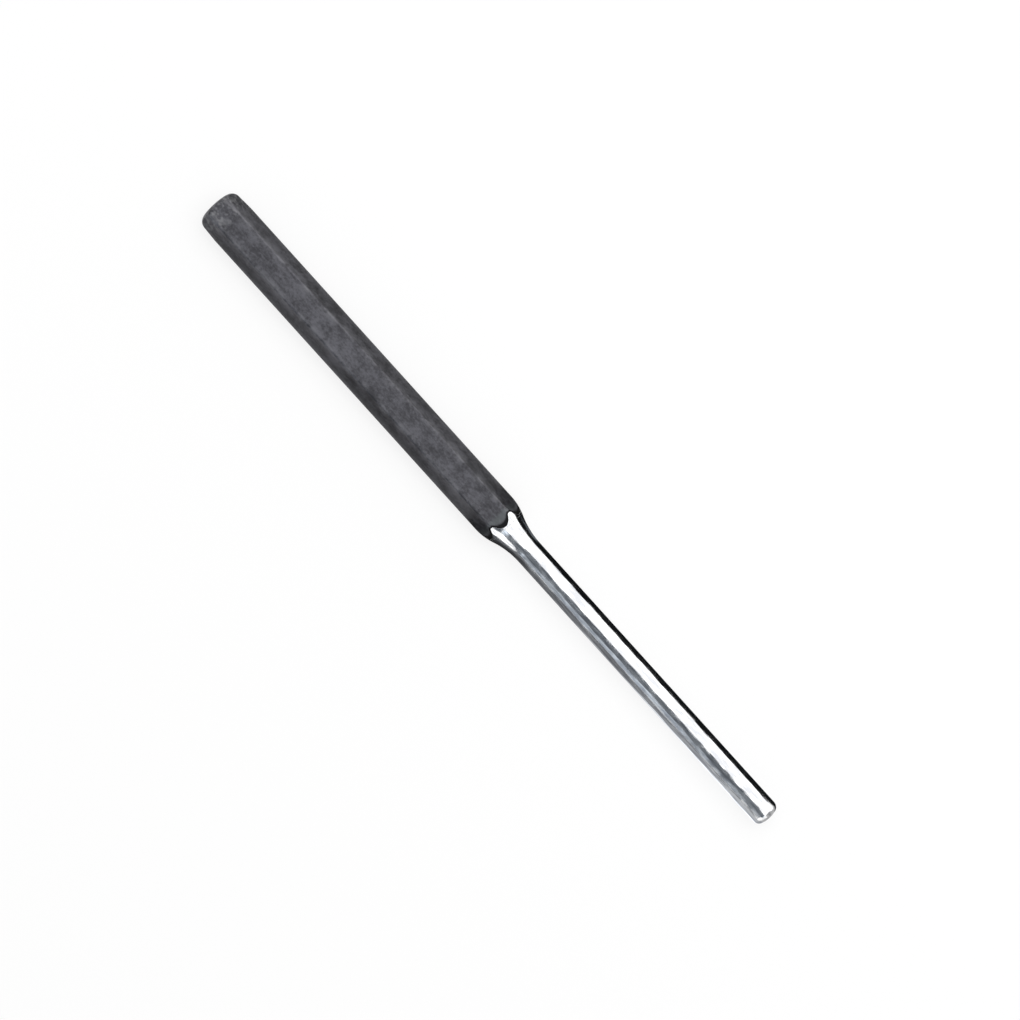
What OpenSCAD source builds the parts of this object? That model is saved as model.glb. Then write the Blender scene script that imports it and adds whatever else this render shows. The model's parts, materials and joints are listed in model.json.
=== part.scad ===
// Pin punch: a hexagonal body, blackened, with a bright round pin pressed into its nose.
// The struck end points to -X, the tip to +X, and the body rests on one flat at Z = 0.

/* [Body] */
// Width of the hexagonal body across its flats, 3/8 inch bar
across_flats = 9.525; // [8.5:0.025:11]
// Length of the body at full width, from the crown of its head to the start of the neck
grip_len = 92.5; // [70:0.5:120]
// How far the sharp corners of the hexagon are turned down
corner_break = 0.08; // [0.04:0.01:0.3]
// Radius of the crown on the struck end
head_crown_r = 18; // [14:0.5:30]
// Radius that rounds the edge of the struck end
head_round = 2; // [1:0.1:2.4]
// How far the body is turned down, in radius, where the rounded edge of the struck end begins
head_relief = 0.2; // [0.05:0.05:0.4]
// Distance from the crown of the head to where that relief runs out
head_relief_len = 6; // [4:0.5:10]

/* [Neck] */
// Length of the turned neck, from the full-width body to the parallel pin
neck_len = 12; // [10:0.1:20]
// Share of the neck that its convex shoulder takes; the rest is hollow
shoulder_share = 0.41; // [0.35:0.01:0.6]
// Turned land between the end of the flats and the joint
seat_land = 0.35; // [0.2:0.05:0.6]

/* [Pin] */
// Diameter of the parallel pin, 1/4 inch
pin_d = 6.35; // [5.4:0.01:7]
// Length of the pin from the end of the neck to the crown of its tip
pin_len = 79.65; // [50:0.05:110]
// Radius of the crown on the tip
tip_crown_r = 13.5; // [10:0.5:24]
// Radius that rounds the edge of the tip
tip_round = 1.8; // [0.5:0.1:2.2]

/* [Joint] */
// Diameter of the tang that is pressed into the body
tang_d = 5; // [3.5:0.05:5.5]
// Length of the tang behind the pin's shoulder
tang_len = 20; // [12:0.5:36]
// Gap between the tang and the wall of its bore, none in a press fit
tang_clearance = 0; // [0:0.005:0.02]
// Chamfer that leads the tang into its bore
tang_chamfer = 0.5; // [0.3:0.1:1]
// Chamfer at the mouth of the bore
bore_chamfer = 0.35; // [0.2:0.05:0.6]
// Room left in the bore beyond the end of the tang
bore_end_gap = 1; // [0.5:0.1:3]
// Angle of the drill point at the bottom of the bore
drill_point_angle = 118; // [90:1:140]

/* [Hidden] */
$fn = 180;

// Straight steps that stand for each arc of the outline
arc_steps = 8;

// How far a cutting or clipping shape runs past the face that it crosses
overrun = 1;

// Hexagon
hex_sides = 6;
corner_angle = 360 / hex_sides;
across_corners = across_flats / cos(corner_angle / 2);
flat_r = across_flats / 2;
corner_r = across_corners / 2 - corner_break;
head_r = corner_r - head_relief;

// Neck: a convex arc and a hollow arc that meet on one slope and run smoothly into body and pin
pin_r = pin_d / 2;
neck_drop = corner_r - pin_r;
neck_radii = (pow(neck_len, 2) + pow(neck_drop, 2)) / (2 * neck_drop);
shoulder_r = shoulder_share * neck_radii;
hollow_r = neck_radii - shoulder_r;
meeting_z = grip_len + shoulder_share * neck_len;
meeting_r = corner_r - shoulder_share * neck_drop;
pin_start_z = grip_len + neck_len;
overall_len = pin_start_z + pin_len;

// Joint: the pin's shoulder seats on the body just beyond the end of the flats
seat_z = neck_z(flat_r) + seat_land;
tang_r = tang_d / 2;
tang_end_z = seat_z - tang_len;
bore_r = tang_r + tang_clearance;
bore_full_z = tang_end_z - bore_end_gap;
bore_tip_z = bore_full_z - bore_r / tan(drill_point_angle / 2);

// Height along the axis at which the neck has narrowed to the radius r
function neck_z(r) =
    r > meeting_r
    ? grip_len + sqrt(pow(shoulder_r, 2) - pow(shoulder_r - corner_r + r, 2))
    : pin_start_z - sqrt(pow(hollow_r, 2) - pow(hollow_r + pin_r - r, 2));

// Depth of a crowned end of radius r, from its crown to the end of its rounded edge
function end_depth(r, crown_r, edge_r) =
    crown_r - sqrt(pow(crown_r - edge_r, 2) - pow(r - edge_r, 2));

// Angle at the crown's centre between the axis and the start of the rounded edge
function crown_angle(r, crown_r, edge_r) =
    asin((r - edge_r) / (crown_r - edge_r));

// Points on an arc, from the angle a towards the angle b, where the next stretch takes over
function arc(centre, r, a, b) = [
    for (i = [0 : arc_steps - 1])
        let (angle = a + (b - a) * i / arc_steps)
            centre + r * [cos(angle), sin(angle)]
];

// Half outline of the whole punch as turned, with x outwards and y from the head to the tip
module turned_outline() {
    head_depth = end_depth(head_r, head_crown_r, head_round);
    head_angle = crown_angle(head_r, head_crown_r, head_round) - 90;
    neck_angle = acos((shoulder_r - corner_r + meeting_r) / shoulder_r);
    tip_depth = end_depth(pin_r, tip_crown_r, tip_round);
    tip_angle = 90 - crown_angle(pin_r, tip_crown_r, tip_round);
    polygon(concat(
        arc([0, head_crown_r], head_crown_r, -90, head_angle),
        arc([head_r - head_round, head_depth], head_round, head_angle, 0),
        [[head_r, head_depth], [corner_r, head_relief_len]],
        arc([corner_r - shoulder_r, grip_len], shoulder_r, 0, neck_angle),
        arc([pin_r + hollow_r, pin_start_z], hollow_r, 180 + neck_angle, 180),
        [[pin_r, pin_start_z]],
        arc([pin_r - tip_round, overall_len - tip_depth], tip_round, 0, tip_angle),
        arc([0, overall_len - tip_crown_r], tip_crown_r, tip_angle, 90),
        [[0, overall_len]]
    ));
}

// Hexagonal bar that ends in the flat face on which the pin's shoulder seats
module hexagonal_bar() {
    translate([0, 0, seat_z])
        mirror([0, 0, 1])
            rotate([0, 0, corner_angle / 2])
                linear_extrude(height = seat_z + overrun)
                    circle(d = across_corners, $fn = hex_sides);
}

// Half outline of the drilled bore, with its drill point and its chamfered mouth
module bore_outline() {
    polygon([
        [0, bore_tip_z],
        [bore_r, bore_full_z],
        [bore_r, seat_z - bore_chamfer],
        [bore_r + bore_chamfer + overrun, seat_z + overrun],
        [0, seat_z + overrun]
    ]);
}

// Half outline of the tang, which runs on into the pin
module tang_outline() {
    polygon([
        [0, tang_end_z],
        [tang_r - tang_chamfer, tang_end_z],
        [tang_r, tang_end_z + tang_chamfer],
        [tang_r, seat_z + overrun],
        [0, seat_z + overrun]
    ]);
}

// Half outline of what the pin shows beyond the joint: the rest of the neck, the pin and its tip
module shown_pin_outline() {
    intersection() {
        turned_outline();
        translate([0, seat_z])
            square([corner_r, overall_len - seat_z + overrun]);
    }
}

// Lays the upright punch down along X on one of its flats
module laid_down() {
    translate([-overall_len / 2, 0, flat_r])
        rotate([0, 90, 0])
            children();
}

module handle() {
    color("dimgray")
        laid_down()
            difference() {
                intersection() {
                    hexagonal_bar();
                    rotate_extrude()
                        turned_outline();
                }
                rotate_extrude()
                    bore_outline();
            }
}

module pin() {
    color("silver")
        laid_down()
            rotate_extrude() {
                shown_pin_outline();
                tang_outline();
            }
}

handle();
pin();
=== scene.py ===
"""Pin punch: a blackened hexagonal body with a bright ground pin, on a pale floor in soft studio light."""

import json
import math

import bpy
import numpy as np
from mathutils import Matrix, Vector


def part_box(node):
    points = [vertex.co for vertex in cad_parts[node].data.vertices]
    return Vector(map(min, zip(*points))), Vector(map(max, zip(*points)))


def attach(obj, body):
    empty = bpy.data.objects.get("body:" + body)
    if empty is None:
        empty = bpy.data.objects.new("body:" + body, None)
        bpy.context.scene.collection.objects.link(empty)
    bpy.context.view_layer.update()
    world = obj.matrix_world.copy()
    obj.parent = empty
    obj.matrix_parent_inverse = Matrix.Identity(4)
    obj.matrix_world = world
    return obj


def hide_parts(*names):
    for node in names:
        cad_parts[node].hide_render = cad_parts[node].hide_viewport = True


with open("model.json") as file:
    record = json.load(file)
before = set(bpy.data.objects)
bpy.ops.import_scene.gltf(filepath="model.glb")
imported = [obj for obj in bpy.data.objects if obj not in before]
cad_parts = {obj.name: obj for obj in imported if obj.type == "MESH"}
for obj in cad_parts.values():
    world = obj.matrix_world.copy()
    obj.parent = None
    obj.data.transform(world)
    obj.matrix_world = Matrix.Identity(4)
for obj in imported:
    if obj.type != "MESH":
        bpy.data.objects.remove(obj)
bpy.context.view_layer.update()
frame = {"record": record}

MM = 0.001
MICRON = 0.001 * MM
MOUNTS = {m["name"]: m for m in frame["record"]["mounts"]}

# Places from the frame
handle_low, handle_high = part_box("handle")
pin_low, pin_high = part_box("pin")
HEAD_X = handle_low.x
SEAT_X = handle_high.x
TANG_END_X = pin_low.x
TIP_X = pin_high.x
FLAT_R = (handle_high.z - handle_low.z) / 2
AXIS_Z = handle_low.z + FLAT_R

# Driving sizes of the body, the neck, the pin and the joint
HEX_SIDES = 6
CORNER_BREAK = 0.08 * MM
GRIP_LEN = 92.5 * MM
HEAD_CROWN_R = 18 * MM
HEAD_ROUND = 2 * MM
HEAD_RELIEF = 0.2 * MM
HEAD_RELIEF_LEN = 6 * MM
NECK_LEN = 12 * MM
SHOULDER_SHARE = 0.41
PIN_R = MOUNTS["drive_pin"]["dims"]["r_mm"] * MM
TIP_CROWN_R = 13.5 * MM
TIP_ROUND = 1.8 * MM
TANG_R = 5 / 2 * MM
TANG_CHAMFER = 0.5 * MM
BORE_CHAMFER = 0.35 * MM
BORE_END_GAP = 1 * MM
DRILL_POINT_DEG = 118

# Worked out from them
SIDE_ANGLE = 2 * math.pi / HEX_SIDES
CORNER_R = FLAT_R / math.cos(SIDE_ANGLE / 2) - CORNER_BREAK
CORNER_ROUND = CORNER_BREAK / (1 / math.cos(SIDE_ANGLE / 2) - 1)
NECK_X = HEAD_X + GRIP_LEN
PIN_START_X = NECK_X + NECK_LEN
NECK_DROP = CORNER_R - PIN_R
NECK_RADII = (NECK_LEN**2 + NECK_DROP**2) / (2 * NECK_DROP)
SHOULDER_R = SHOULDER_SHARE * NECK_RADII
HOLLOW_R = NECK_RADII - SHOULDER_R
MEETING_X = NECK_X + SHOULDER_SHARE * NECK_LEN

# Breaks of the edges between the flats and the shoulder and along the seam, and the angle of a sharp edge
EDGE_SOFTNESS = 0.05 * MM
LEAST_SOFTNESS = 1e-9
SEAM_BREAK = 0.01 * MM
SHARP_DEG = 35

# Fineness of the meshes. The angles crowd towards the hexagon's corners by CORNER_CROWDING
STEPS_PER_SIDE = 64
CORNER_CROWDING = 0.4
AROUND_PIN = 320
END_STEPS = 24
ROW_STEP = 0.1 * MM
RELIEF_ROW_STEP = 2 * ROW_STEP
LONG_ROW_STEP = 1.5 * MM

# Where the black is ground off or worn. Its rim, a painted dark reflection, narrows by RIM_TAPER towards the
# corners, and the last rows of the body's outline, on its nose face and in its bore, are bare
BRIGHT_START = 2.3 * MM
BRIGHT_X = NECK_X + BRIGHT_START
WEDGE_ROUND = 0.9 * MM
RIM_TAPER = 0.75
BARE_ROWS = 4
CORNER_WEAR = 0.8 * MM
WORN_HEAD_LEN = 9 * MM

# The photograph's frame
PHOTO_PX = 1020
PUNCH_CENTRE_PX = (492.0, 511.1)
PUNCH_LENGTH_PX = 826.5
PUNCH_TURN_DEG = 47.89
LENS_MM = 100
SENSOR_MM = 36


def new_object(name, data):
    """An object that holds data, put into the scene."""
    thing = bpy.data.objects.new(name, data)
    bpy.context.scene.collection.objects.link(thing)
    return thing


# Outlines, as lists of (x along the punch, radius)


def arc(x, r, radius, start_deg, stop_deg, steps):
    """Points on an arc about (x, r) without its last. 0 degrees points outwards, and 90 to the tip."""
    angles = np.radians(np.linspace(start_deg, stop_deg, steps + 1)[:-1])
    return [(x + radius * math.sin(a), r + radius * math.cos(a)) for a in angles]


def straight(start, stop, step):
    """Points from start towards stop, leaving out stop."""
    count = max(1, round(math.dist(start, stop) / step))
    return [tuple(np.add(start, np.subtract(stop, start) * i / count)) for i in range(count)]


def crowned_end(end_x, inwards, r, crown_r, edge_r):
    """A crowned end, from the axis to the end of its rounded edge. inwards is 1 or -1, along x."""
    meet = math.degrees(math.asin((r - edge_r) / (crown_r - edge_r)))
    depth = crown_r - math.sqrt((crown_r - edge_r) ** 2 - (r - edge_r) ** 2)
    crown = arc(crown_r, 0, crown_r, -90, meet - 90, END_STEPS)
    edge = arc(depth, r - edge_r, edge_r, meet - 90, 0, END_STEPS)
    return [(end_x + inwards * x, y) for x, y in crown + edge + [(depth, r)]]


def shoulder(stop_x):
    """The convex start of the neck, from the full body to stop_x."""
    stop_deg = math.degrees(math.asin((stop_x - NECK_X) / SHOULDER_R))
    return arc(NECK_X, CORNER_R - SHOULDER_R, SHOULDER_R, 0, stop_deg, round((stop_x - NECK_X) / ROW_STEP))


def shoulder_radius(x):
    """Radius of the turned shoulder at x."""
    return CORNER_R - SHOULDER_R + math.sqrt(SHOULDER_R**2 - (x - NECK_X) ** 2)


def shoulder_x(radius):
    """Where the turned shoulder has narrowed to each radius."""
    drop = np.maximum(CORNER_R - radius, 0)
    return NECK_X + np.sqrt(drop * (2 * SHOULDER_R - drop))


def handle_outline():
    """From the crown of the head along the outside to the seat, then into the bore to its drill point."""
    head = crowned_end(HEAD_X, 1, CORNER_R - HEAD_RELIEF, HEAD_CROWN_R, HEAD_ROUND)
    relief_end = (HEAD_X + HEAD_RELIEF_LEN, CORNER_R)
    relief = straight(head.pop(), relief_end, RELIEF_ROW_STEP)
    grip = straight(relief_end, (NECK_X, CORNER_R), LONG_ROW_STEP)
    rim_x = SEAT_X - SEAM_BREAK
    full_x = TANG_END_X - BORE_END_GAP
    inside = [
        (rim_x, shoulder_radius(rim_x)),
        (SEAT_X, shoulder_radius(SEAT_X) - SEAM_BREAK),
        (SEAT_X, TANG_R + BORE_CHAMFER),
        (SEAT_X - BORE_CHAMFER, TANG_R),
        (full_x, TANG_R),
        (full_x - TANG_R / math.tan(math.radians(DRILL_POINT_DEG / 2)), 0),
    ]
    return head + relief + grip + shoulder(rim_x) + inside


def pin_outline():
    """From the end of the tang to the shoulder, then along the neck and the pin to the crown of the tip."""
    rim_x = SEAT_X + SEAM_BREAK
    tang = [
        (TANG_END_X, 0),
        (TANG_END_X, TANG_R - TANG_CHAMFER),
        (TANG_END_X + TANG_CHAMFER, TANG_R),
        (SEAT_X, TANG_R),
        (SEAT_X, shoulder_radius(SEAT_X) - SEAM_BREAK),
        (rim_x, shoulder_radius(rim_x)),
    ]
    land = [point for point in shoulder(MEETING_X) if point[0] > rim_x]
    slope_deg = math.degrees(math.asin((MEETING_X - NECK_X) / SHOULDER_R))
    hollow_steps = round((PIN_START_X - MEETING_X) / ROW_STEP)
    hollow = arc(PIN_START_X, PIN_R + HOLLOW_R, HOLLOW_R, slope_deg - 180, -180, hollow_steps)
    tip = crowned_end(TIP_X, -1, PIN_R, TIP_CROWN_R, TIP_ROUND)[::-1]
    return tang + land + hollow + straight((PIN_START_X, PIN_R), tip[0], LONG_ROW_STEP) + tip


# Meshes


def hexagon_angles():
    """Angles round the axis, with a flat at 0, that are closer together at the corners of the hexagon."""
    share = np.arange(-STEPS_PER_SIDE, STEPS_PER_SIDE, 2) / STEPS_PER_SIDE
    crowded = (1 - CORNER_CROWDING) * share + CORNER_CROWDING * np.sin(share * math.pi / 2)
    return np.concatenate([SIDE_ANGLE / 2 * crowded + i * SIDE_ANGLE for i in range(HEX_SIDES)])


def from_flat(angles):
    """Angle from the middle of the nearest flat."""
    return np.abs((angles + SIDE_ANGLE / 2) % SIDE_ANGLE - SIDE_ANGLE / 2)


def hexagon_radius(angles):
    """Distance from the axis to the hexagon with its rounded corners, at each angle."""
    from_middle = from_flat(angles)
    centre_r = (FLAT_R - CORNER_ROUND) / math.cos(SIDE_ANGLE / 2)
    from_corner = SIDE_ANGLE / 2 - from_middle
    rounded = centre_r * np.cos(from_corner)
    rounded = rounded + np.sqrt(np.maximum(CORNER_ROUND**2 - (centre_r * np.sin(from_corner)) ** 2, 0))
    flat_end = math.atan((FLAT_R - CORNER_ROUND) * math.tan(SIDE_ANGLE / 2) / FLAT_R)
    return np.where(from_middle < flat_end, FLAT_R / np.cos(from_middle), rounded)


def smooth_min(a, b, k):
    """The smaller of a and b, rounded off over k where they are nearly equal."""
    h = np.clip(0.5 + 0.5 * (b - a) / k, 0, 1)
    return b * (1 - h) + a * h - k * h * (1 - h)


def closed_mesh(name, rings, poles):
    """A closed mesh of rings of points round the axis, capped by a pole at each end."""
    count, around = rings.shape[:2]
    points = np.concatenate([rings.reshape(-1, 3), np.array(poles)])
    first, last = len(points) - 2, len(points) - 1
    faces = []
    for j in range(around):
        k = (j + 1) % around
        faces.append((first, j, k))
        for i in range(count - 1):
            faces.append((i * around + j, (i + 1) * around + j, (i + 1) * around + k, i * around + k))
        faces.append(((count - 1) * around + j, last, (count - 1) * around + k))
    mesh = bpy.data.meshes.new(name)
    mesh.from_pydata(points.tolist(), [], faces)
    mesh.update()
    mesh.shade_smooth()
    mesh.set_sharp_from_angle(angle=math.radians(SHARP_DEG))
    return new_object(name, mesh)


def ring_mesh(name, outline, angles, radius):
    """A closed mesh whose rings stand at the outline's places, with a radius for each place and angle."""
    x = np.repeat(np.array(outline[1:-1])[:, 0:1], len(angles), axis=1)
    rings = np.stack([x, radius * np.sin(angles), AXIS_Z + radius * np.cos(angles)], axis=2)
    poles = [(outline[0][0], 0, AXIS_Z), (outline[-1][0], 0, AXIS_Z)]
    return closed_mesh(name, rings, poles)


def add_attribute(piece, name, values, poles):
    """Stores one number for each vertex, and one for each pole, for the materials to read."""
    attribute = piece.data.attributes.new(name, "FLOAT", "POINT")
    attribute.data.foreach_set("value", np.append(values.ravel(), poles).astype(np.float32))


def make_handle():
    """The body, with how far each point lies past the end of its flat, and where it is worn."""
    outline = handle_outline()
    angles = hexagon_angles()
    hexagon = hexagon_radius(angles)[None, :]
    x, turned = np.array(outline[1:-1]).T[:, :, None]
    softness = np.clip(CORNER_R - turned, LEAST_SOFTNESS, EDGE_SOFTNESS)
    radius = smooth_min(np.repeat(turned, len(angles), axis=1), hexagon, softness)
    piece = ring_mesh("blackened_handle", outline, angles, radius)

    past_flats = smooth_min(x - shoulder_x(hexagon), x - BRIGHT_X, WEDGE_ROUND)
    off_middle = from_flat(angles) / (SIDE_ANGLE / 2)
    # The rim of painted dark reflection narrows towards the corners
    rim_share = 1 - RIM_TAPER * off_middle**2
    past_flats = np.where(past_flats < 0, past_flats / rim_share, past_flats)
    past_flats[-BARE_ROWS:] = SEAT_X - NECK_X
    add_attribute(piece, "past_flats_mm", past_flats / MM, [-GRIP_LEN / MM, 1])
    from_corner = (SIDE_ANGLE / 2 - from_flat(angles))[None, :] * CORNER_R
    corner = np.repeat(np.exp(-((from_corner / CORNER_WEAR) ** 2)), len(x), axis=0)
    add_attribute(piece, "corner", corner, [0, 0])
    head = np.repeat(np.clip(1 - (x - HEAD_X) / WORN_HEAD_LEN, 0, 1), len(angles), axis=1)
    add_attribute(piece, "head", head, [1, 0])
    return piece


def make_pin():
    """The pin with its tang, the rest of the neck and its tip."""
    outline = pin_outline()
    angles = np.arange(AROUND_PIN) * 2 * math.pi / AROUND_PIN
    radius = np.repeat(np.array(outline[1:-1])[:, 1:2], len(angles), axis=1)
    return ring_mesh("bright_pin", outline, angles, radius)


# Materials


class Shader:
    """Builds the nodes of one material or world."""

    def __init__(self, owner):
        self.owner = owner
        self.owner.use_nodes = True
        self.tree = self.owner.node_tree
        self.tree.nodes.clear()

    def add(self, kind, inputs=None, **settings):
        """One node. inputs are sockets to link or values to set, by name or number."""
        node = self.tree.nodes.new(kind)
        for key, value in settings.items():
            setattr(node, key, value)
        for key, value in (inputs or {}).items():
            if isinstance(value, bpy.types.NodeSocket):
                self.tree.links.new(value, node.inputs[key])
            else:
                node.inputs[key].default_value = value
        return node

    def position(self):
        """Place on the object, in metres."""
        return self.add("ShaderNodeTexCoord").outputs["Object"]

    def noises(self, table):
        """Noises from 0 to 1 by name, from grain (x, y, z) in millimetres, detail and roughness."""
        result = {}
        for name, (grain, detail, rough) in table.items():
            scale = [1 / (size * MM) for size in grain]
            place = self.add("ShaderNodeMapping", {"Vector": self.position(), "Scale": scale}).outputs[0]
            inputs = {"Vector": place, "Scale": 1.0, "Detail": detail, "Roughness": rough}
            result[name] = self.add("ShaderNodeTexNoise", inputs).outputs["Fac"]
        return result

    def attribute(self, name):
        return self.add("ShaderNodeAttribute", attribute_name=name).outputs["Fac"]

    def seen(self):
        """1 where the camera, a mirror or glass looks at the surface, and 0 where it only lights others."""
        path = self.add("ShaderNodeLightPath").outputs
        seen = self.math("MAXIMUM", path["Is Camera Ray"], path["Is Glossy Ray"])
        return self.math("MAXIMUM", seen, path["Is Transmission Ray"])

    def math(self, operation, a, b, c=0.0):
        return self.add("ShaderNodeMath", {0: a, 1: b, 2: c}, operation=operation).outputs[0]

    def total(self, values, weights):
        """The sum of the values that have a weight, each times its weight."""
        result = 0.0
        for name, weight in weights.items():
            result = self.math("MULTIPLY_ADD", values[name], weight, result)
        return result

    def ramp(self, value, low, high, to_low=0.0, to_high=1.0):
        """value from low..high to to_low..to_high, smoothly and clamped."""
        node = self.add(
            "ShaderNodeMapRange",
            {"Value": value, "From Min": low, "From Max": high, "To Min": to_low, "To Max": to_high},
            interpolation_type="SMOOTHSTEP",
        )
        return node.outputs[0]

    def blend(self, factor, a, b):
        """Values or colours a and b mixed, through the Mix node's sockets for that kind, by number."""
        colours = isinstance(b, tuple) or getattr(b, "type", "VALUE") == "RGBA"
        node = self.add("ShaderNodeMix", data_type="RGBA" if colours else "FLOAT")
        inputs, output = ((6, 7), 2) if colours else ((2, 3), 0)
        for socket, value in zip((0, *inputs), (factor, a, b)):
            if isinstance(value, bpy.types.NodeSocket):
                self.tree.links.new(value, node.inputs[socket])
            else:
                node.inputs[socket].default_value = (*value, 1.0) if isinstance(value, tuple) else value
        return node.outputs[output]

    def metal(self, colour, metallic, roughness, height):
        """A metal surface with its height in microns."""
        bump = self.add("ShaderNodeBump", {"Height": height, "Distance": MICRON, "Strength": 1.0})
        surface = self.add(
            "ShaderNodeBsdfPrincipled",
            {"Base Color": colour, "Metallic": metallic, "Roughness": roughness, "Normal": bump.outputs[0]},
        )
        return self.finish(surface.outputs[0])

    def finish(self, surface):
        """The material or world, with its surface in place."""
        kind = "World" if isinstance(self.owner, bpy.types.World) else "Material"
        self.add("ShaderNodeOutput" + kind, {"Surface": surface})
        return self.owner


# Bright steel: noises, their weights in its tone and in its height in microns, and its colours. Every ramp
# is (low, high), or (low, high, what it gives at low, what it gives at high)
STEEL_NOISES = {
    "strokes": ((9, 0.3, 0.3), 2.0, 0.55),
    "patches": ((3.6, 0.7, 0.7), 2.0, 0.5),
    "smudges": ((2.2, 0.8, 0.8), 2.0, 0.5),
    "cloud": ((10, 1.6, 1.6), 1.0, 0.55),
    "ripple": ((4.5, 1.7, 1.7), 0.5, 0.4),
}
STEEL_TONE = {"patches": 0.55, "cloud": 0.35, "strokes": 0.10}
STEEL_TONE_RAMP = (0.40, 0.58)
STEEL_DARK = (0.57, 0.58, 0.605)
STEEL_LIGHT = (0.93, 0.935, 0.94)
STEEL_ROUGHNESS_RAMP = (0.42, 0.62, 0.07, 0.19)
STEEL_HEIGHT = {"ripple": 80.0, "strokes": 3.0}
STEEL_METALLIC = 1.0

# The black, in the same way, with weights in its roughness too
BLACK_NOISES = {
    "cloud": ((9, 7, 7), 2.0, 0.55),
    "blotch": ((3.2, 2.2, 2.2), 4.0, 0.6),
    "grain": ((0.75, 0.6, 0.6), 3.0, 0.6),
    "drawn": ((14, 0.4, 0.4), 2.0, 0.55),
    "dents": ((1.2, 1.0, 1.0), 1.0, 0.55),
    "ragged": ((0.7, 0.5, 0.5), 2.0, 0.55),
}
BLACK_TONE = {"cloud": 0.2, "blotch": 0.4, "grain": 0.3, "drawn": 0.1}
BLACK_TONE_RAMP = (0.38, 0.62)
BLACK_DARK = (0.0425, 0.042, 0.047)
BLACK_LIGHT = (0.113, 0.112, 0.126)
BLACK_ROUGHNESS = {"blotch": 1.0, "grain": 1.0}
BLACK_ROUGHNESS_RAMP = (0.7, 1.3, 0.38, 0.54)
BLACK_HEIGHT = {"grain": 16.0, "drawn": 4.0}
BLACK_METALLIC = 0.75

# Wear of the black along the corners and on the struck end
BLACK_WORN = (0.230, 0.230, 0.240)
CORNER_WEAR_RAMP = (0.40, 0.66, 0.0, 0.25)
STRUCK_RAMP = (0.0, 0.7)
DENTS_RAMP = (0.42, 0.72, 0.0, 0.70)

# End of the black: a thin grey zone, a black rim of painted dark reflection and then bare steel, by
# millimetres past the flats, which waver by RAGGED_MM
RAGGED_MM = 0.3
THIN_START_RAMP = (-3.6, -2.2)
THIN_END_RAMP = (-1.5, -1.0, 1.0, 0.0)
THIN_SHARE = 0.45
BLACK_THIN = (0.135, 0.150, 0.155)
PAINTED_REFLECTION_RAMP = (-1.2, -0.7)
# The rim's colour is a painted dark reflection, not a darker oxide
PAINTED_DARK_REFLECTION = (0.004, 0.004, 0.005)
BARE_RAMP = (0.1, 0.2)


def steel_looks(s):
    """Colour, roughness and height in microns of bright ground steel, polished along its length."""
    noises = s.noises(STEEL_NOISES)
    tone = s.ramp(s.total(noises, STEEL_TONE), *STEEL_TONE_RAMP)
    roughness = s.ramp(noises["smudges"], *STEEL_ROUGHNESS_RAMP)
    return s.blend(tone, STEEL_DARK, STEEL_LIGHT), roughness, s.total(noises, STEEL_HEIGHT)


def bright_steel():
    s = Shader(bpy.data.materials.new("bright_ground_steel"))
    colour, roughness, height = steel_looks(s)
    return s.metal(colour, STEEL_METALLIC, roughness, height)


def black_oxide():
    """Blackened bar that turns to bright steel where the neck is ground through the black, behind a black rim
    of painted dark reflection.
    """
    s = Shader(bpy.data.materials.new("black_oxide_steel"))
    noises = s.noises(BLACK_NOISES)
    tone = s.ramp(s.total(noises, BLACK_TONE), *BLACK_TONE_RAMP)
    black = s.blend(tone, BLACK_DARK, BLACK_LIGHT)
    corners = s.math("MULTIPLY", s.attribute("corner"), s.ramp(noises["blotch"], *CORNER_WEAR_RAMP))
    struck = s.ramp(s.attribute("head"), *STRUCK_RAMP)
    struck = s.math("MULTIPLY", struck, s.ramp(noises["dents"], *DENTS_RAMP))
    black = s.blend(s.math("MAXIMUM", corners, struck), black, BLACK_WORN)

    past_flats = s.math("MULTIPLY_ADD", noises["ragged"], RAGGED_MM, s.attribute("past_flats_mm"))
    thin = s.math("MULTIPLY", s.ramp(past_flats, *THIN_START_RAMP), s.ramp(past_flats, *THIN_END_RAMP))
    black = s.blend(s.math("MULTIPLY", thin, THIN_SHARE), black, BLACK_THIN)
    # The black rim here is a painted dark reflection where the flats curve into the neck
    black = s.blend(s.ramp(past_flats, *PAINTED_REFLECTION_RAMP), black, PAINTED_DARK_REFLECTION)
    black_roughness = s.ramp(s.total(noises, BLACK_ROUGHNESS), *BLACK_ROUGHNESS_RAMP)
    black_height = s.total(noises, BLACK_HEIGHT)

    bare = s.ramp(past_flats, *BARE_RAMP)
    steel, steel_roughness, steel_height = steel_looks(s)
    colour = s.blend(bare, black, steel)
    metallic = s.ramp(bare, 0.0, 1.0, BLACK_METALLIC, STEEL_METALLIC)
    roughness = s.blend(bare, black_roughness, steel_roughness)
    height = s.blend(bare, black_height, steel_height)
    return s.metal(colour, metallic, roughness, height)


# Floor, lamp and world, in metres and watts. The floor and the world have one level where they are seen and
# another where they light the punch. The floor's glow rises over LIGHT_REACH, as the lamp's light fades
FLOOR_HALF = 3.0
FLOOR_DROP = 0.02 * MM
FLOOR_PAPER = 0.8
FLOOR_PAPER_SEEN = 0.22
FLOOR_GLOW = 0.79
FLOOR_GLOW_FAR = 0.885
LIGHT_REACH = 0.8
SOFTBOX_SIZE = 0.5
SOFTBOX_PLACE = (0.0, 0.15, 0.5)
SOFTBOX_POWER = 1.7
WORLD_LEVEL = 0.5
WORLD_LEVEL_SEEN = 1.0


def stage_object(name, points, faces, material):
    mesh = bpy.data.meshes.new(name)
    mesh.from_pydata(points, [], faces)
    mesh.materials.append(material)
    thing = new_object(name, mesh)
    return thing


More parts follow.
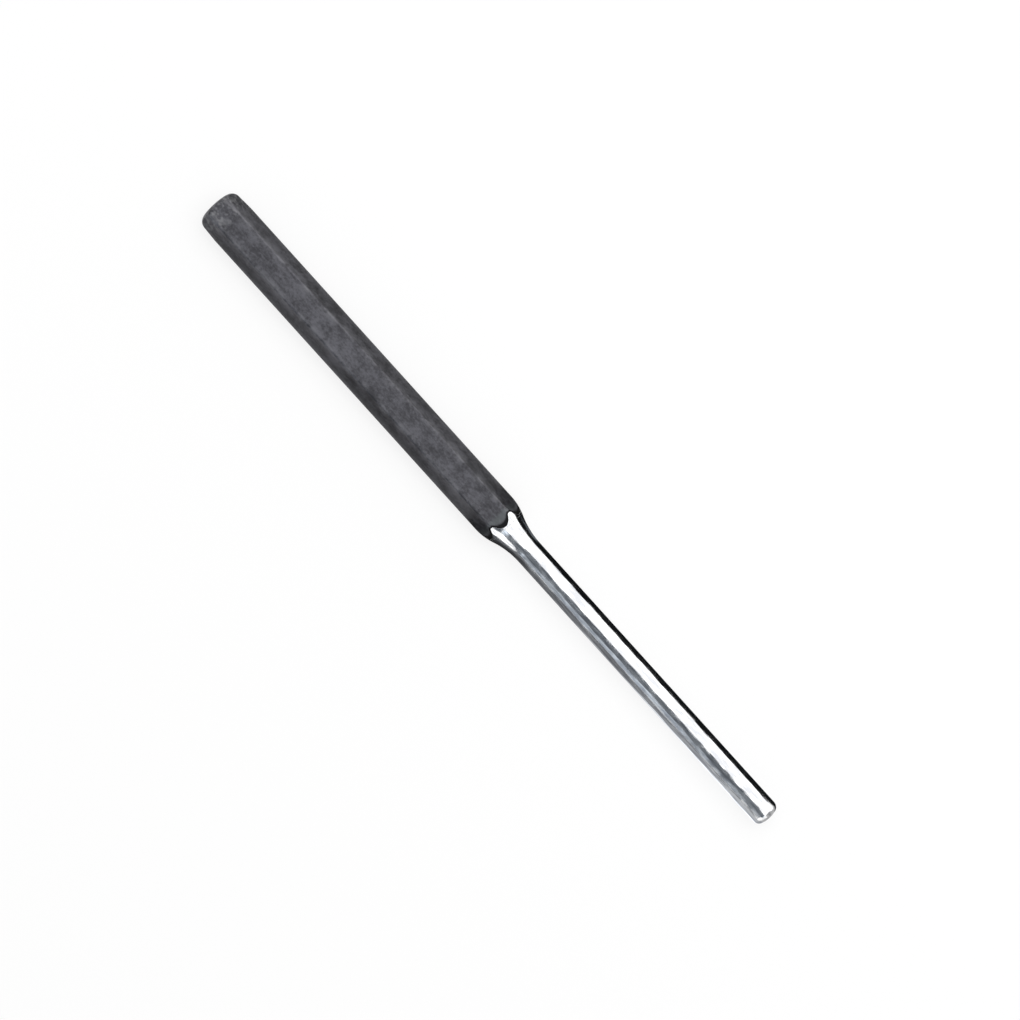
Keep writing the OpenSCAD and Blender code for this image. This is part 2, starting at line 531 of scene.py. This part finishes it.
def floor_material():
    """Pale floor: lit as paper, and near white where the camera or a mirror sees it, with the shadow kept."""
    s = Shader(bpy.data.materials.new("pale_floor"))
    seen = s.seen()
    colour = s.blend(seen, (FLOOR_PAPER,) * 3, (FLOOR_PAPER_SEEN,) * 3)
    paper = s.add("ShaderNodeBsdfDiffuse", {"Color": colour})
    away = s.add("ShaderNodeVectorMath", {0: s.position()}, operation="LENGTH").outputs["Value"]
    level = s.math("MULTIPLY", seen, s.ramp(away, 0.0, LIGHT_REACH, FLOOR_GLOW, FLOOR_GLOW_FAR))
    glow = s.add("ShaderNodeEmission", {"Color": (1, 1, 1, 1), "Strength": level})
    both = s.add("ShaderNodeAddShader", {0: paper.outputs[0], 1: glow.outputs[0]})
    return s.finish(both.outputs[0])


def make_floor():
    corners = [(x * FLOOR_HALF, y * FLOOR_HALF, -FLOOR_DROP) for x, y in ((-1, -1), (1, -1), (1, 1), (-1, 1))]
    stage_object("floor", corners, [(0, 1, 2, 3)], floor_material())


def make_softbox():
    """The one lamp, aimed at the punch and kept out of reflections."""
    data = bpy.data.lights.new("softbox", "AREA")
    data.shape = "SQUARE"
    data.size = SOFTBOX_SIZE
    data.energy = SOFTBOX_POWER
    light = new_object("softbox", data)
    light.location = SOFTBOX_PLACE
    light.rotation_euler = (-light.location).to_track_quat("-Z", "Y").to_euler()
    light.visible_glossy = False


def make_world():
    s = Shader(bpy.data.worlds.new("studio"))
    strength = s.ramp(s.seen(), 0.0, 1.0, WORLD_LEVEL, WORLD_LEVEL_SEEN)
    background = s.add("ShaderNodeBackground", {"Color": (1, 1, 1, 1), "Strength": strength})
    bpy.context.scene.world = s.finish(background.outputs[0])


# Cards, which only reflections show. All their places are in millimetres, their levels are (x, level), and
# these are the tints of their light

WHITE = (1.0, 1.0, 1.0)
COOL = (0.90, 0.98, 1.08)
PALE_COOL = (0.95, 0.98, 1.03)

# Far panels round the punch, as stations (x, first degree, last degree) at FAR_MM from its axis, with
# degrees from straight up, positive towards +Y. The pin shows a white band, a grey one, a lighter strip and a
# grey one again. It can't show white_ahead, which is there for the neck and the tip's rounding
FAR_MM = 2000
FAR_STEPS = 16
FAR_PANELS = {
    "white_box": (
        WHITE,
        [(-2000, -2, 81), (313, -2, 81), (353, -12, 81), (480, -12, 81), (590, -16, 81), (2000, -16, 81)],
        [(0, 1.6)],
    ),
    "dim_high": (
        COOL,
        [
            (-2000, -42, -2),
            (313, -42, -2),
            (353, -76, -12),
            (378, -76, -12),
            (400, -70, -12),
            (480, -66, -12),
            (534, -62, -14),
            (590, -52, -16),
            (2000, -50, -16),
        ],
        [
            (-50, 0.45),
            (39, 0.17),
            (208, 0.17),
            (305, 0.16),
            (378, 0.21),
            (790, 0.17),
            (1400, 0.18),
            (1620, 0.95),
        ],
    ),
    "light_strip": (
        COOL,
        [(-2000, -74, -42), (313, -74, -42), (353, -76, -75)],
        [(-50, 0.75), (31, 0.33), (208, 0.70), (305, 0.33)],
    ),
    "dim_low": (
        PALE_COOL,
        [(-2000, -95, -74), (353, -95, -76), (378, -95, -76), (400, -95, -90), (480, -95, -93)],
        [(-50, 0.55), (31, 0.22), (160, 0.22), (305, 0.34), (362, 0.22), (480, 0.50)],
    ),
    "white_ahead": (
        WHITE,
        [
            (378, -88, -76),
            (400, -90, -70),
            (480, -93, -66),
            (534, -95, -62),
            (590, -95, -52),
            (2000, -95, -50),
        ],
        [(378, 0.55), (480, 1.1), (560, 1.4)],
    ),
}

# Near cards, low beside the punch. The first two blacken the edge of the neck and the pin on the +Y side. The
# shades grade their other edge from dark at the nose to light at the tip. flag_left and flag_right shade the
# side flats, and the last three grey what the tip's rounding shows
CARD_Z = 0.1
CARD_START = 2.5
BLACK_END = 97
SHADE_END = 106
WALL_X = 152
FLAG_Y = 7.6
FLAG_Z = 4.2
BLACK_LEVEL = 0.008
TIP_LEVEL = 0.45


def strip(x_from, x_to, *points):
    """Two rows of a card with the same points, which are (y, z)."""
    return [(x, points) for x in (x_from, x_to)]


def upright(y, *edges):
    """Rows of an upright card at y, from its edges (x, bottom, top)."""
    return [(x, ((y, bottom), (y, top))) for x, bottom, top in edges]


NEAR_CARDS = {
    "black_flag": (
        COOL,
        strip(CARD_START, BLACK_END, (14, CARD_Z), (60, CARD_Z), (60, 13.3)),
        [(0, BLACK_LEVEL)],
    ),
    "neck_flag": (
        COOL,
        strip(CARD_START, BLACK_END, (3.4, CARD_Z), (14, CARD_Z)),
        [(8.5, BLACK_LEVEL), (9.5, 0.12), (11.5, 0.12), (12.5, BLACK_LEVEL)],
    ),
    "dark_shade": (
        PALE_COOL,
        strip(CARD_START, SHADE_END, (-9, CARD_Z), (-60, CARD_Z), (-60, 8.0)),
        [(5, 0.004), (8, 0.03), (20, 0.17), (45, 0.20), (60, 0.29), (82, 0.50)],
    ),
    "low_shade": (
        PALE_COOL,
        strip(CARD_START, SHADE_END, (-3.4, CARD_Z), (-9, CARD_Z)),
        [(5, 0.004), (8, 0.03), (20, 0.19), (45, 0.50), (60, 0.90), (82, 1.35), (91, 1.35), (94, 0.40)],
    ),
    "flag_left": (
        COOL,
        upright(FLAG_Y, (-110, FLAG_Z, 6.3), (-4, FLAG_Z, 6.3), (CARD_START, CARD_Z, 9.5)),
        [(0, 0.0)],
    ),
    "flag_right": (
        COOL,
        upright(
            -FLAG_Y,
            (-110, FLAG_Z, 6.1),
            (-52, FLAG_Z, 6.1),
            (-42, FLAG_Z, 6.7),
            (-18, FLAG_Z, 6.7),
            (-8, FLAG_Z, 5.6),
            (-3, FLAG_Z, 5.6),
            (CARD_START, CARD_Z, 8.5),
        ),
        [(0, 0.0)],
    ),
    "tip_shade": (WHITE, strip(SHADE_END, 250, (-6, CARD_Z), (-100, CARD_Z)), [(0, TIP_LEVEL)]),
    "tip_floor": (WHITE, strip(BLACK_END, WALL_X, (-6, CARD_Z), (60, CARD_Z)), [(0, TIP_LEVEL)]),
    "tip_wall": (
        WHITE,
        [(WALL_X, ((-6, CARD_Z), (60, CARD_Z))), (WALL_X + 0.1, ((-6, 75), (60, 75)))],
        [(0, TIP_LEVEL)],
    ),
}


def glow_material(name, colour, levels):
    """Light whose level changes smoothly along X, from one (x in mm, level) to the next."""
    s = Shader(bpy.data.materials.new(name))
    along = s.add("ShaderNodeSeparateXYZ", {0: s.position()}).outputs[0]
    strength = levels[0][1]
    for (x_from, level_from), (x_to, level_to) in zip(levels, levels[1:]):
        change = s.ramp(along, x_from * MM, x_to * MM, 0.0, level_to - level_from)
        strength = s.math("ADD", change, strength)
    glow = s.add("ShaderNodeEmission", {"Color": (*colour, 1), "Strength": strength})
    return s.finish(glow.outputs[0])


def card(name, rows, colour, levels):
    """A card given as rows of points (x, y, z) in millimetres."""
    width = len(rows[0])
    points = [tuple(value * MM for value in point) for row in rows for point in row]
    faces = []
    for start in range(0, len(points) - width, width):
        faces += [(i, i + 1, i + width + 1, i + width) for i in range(start, start + width - 1)]
    thing = stage_object(name, points, faces, glow_material(name, colour, levels))
    for ray in ("camera", "diffuse", "transmission", "volume_scatter", "shadow"):
        setattr(thing, "visible_" + ray, False)


def far_row(x, first_deg, last_deg):
    """Points on an arc about the axis."""
    angles = np.radians(np.linspace(first_deg, last_deg, FAR_STEPS + 1))
    return [(x, FAR_MM * math.sin(a), AXIS_Z / MM + FAR_MM * math.cos(a)) for a in angles]


def make_cards():
    for name, (colour, stations, levels) in FAR_PANELS.items():
        card(name, [far_row(*station) for station in stations], colour, levels)
    for name, (colour, rows, levels) in NEAR_CARDS.items():
        card(name, [[(x, y, z) for y, z in points] for x, points in rows], colour, levels)


def make_camera():
    """Straight down on the punch, turned and placed so that it lies in the frame as photographed."""
    metres_per_px = (TIP_X - HEAD_X) / PUNCH_LENGTH_PX
    turn = math.radians(PUNCH_TURN_DEG)
    right = PHOTO_PX / 2 - PUNCH_CENTRE_PX[0]
    up = PUNCH_CENTRE_PX[1] - PHOTO_PX / 2
    data = bpy.data.cameras.new("camera")
    data.lens = LENS_MM
    data.sensor_width = SENSOR_MM
    camera = new_object("camera", data)
    camera.location = (
        (TIP_X + HEAD_X) / 2 + (right * math.cos(turn) - up * math.sin(turn)) * metres_per_px,
        (right * math.sin(turn) + up * math.cos(turn)) * metres_per_px,
        AXIS_Z + PHOTO_PX * metres_per_px * LENS_MM / SENSOR_MM,
    )
    camera.rotation_euler = (0, 0, turn)
    bpy.context.scene.camera = camera


def main():
    make_camera()
    handle = make_handle()
    handle.data.materials.append(black_oxide())
    pin = make_pin()
    pin.data.materials.append(bright_steel())
    for piece, node, slot in ((handle, "handle", "black_steel"), (pin, "pin", "bright_steel")):
        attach(piece, "root")
        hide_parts(node)
    make_floor()
    make_cards()
    make_softbox()
    make_world()
    bpy.context.scene.view_settings.view_transform = "Standard"


main()
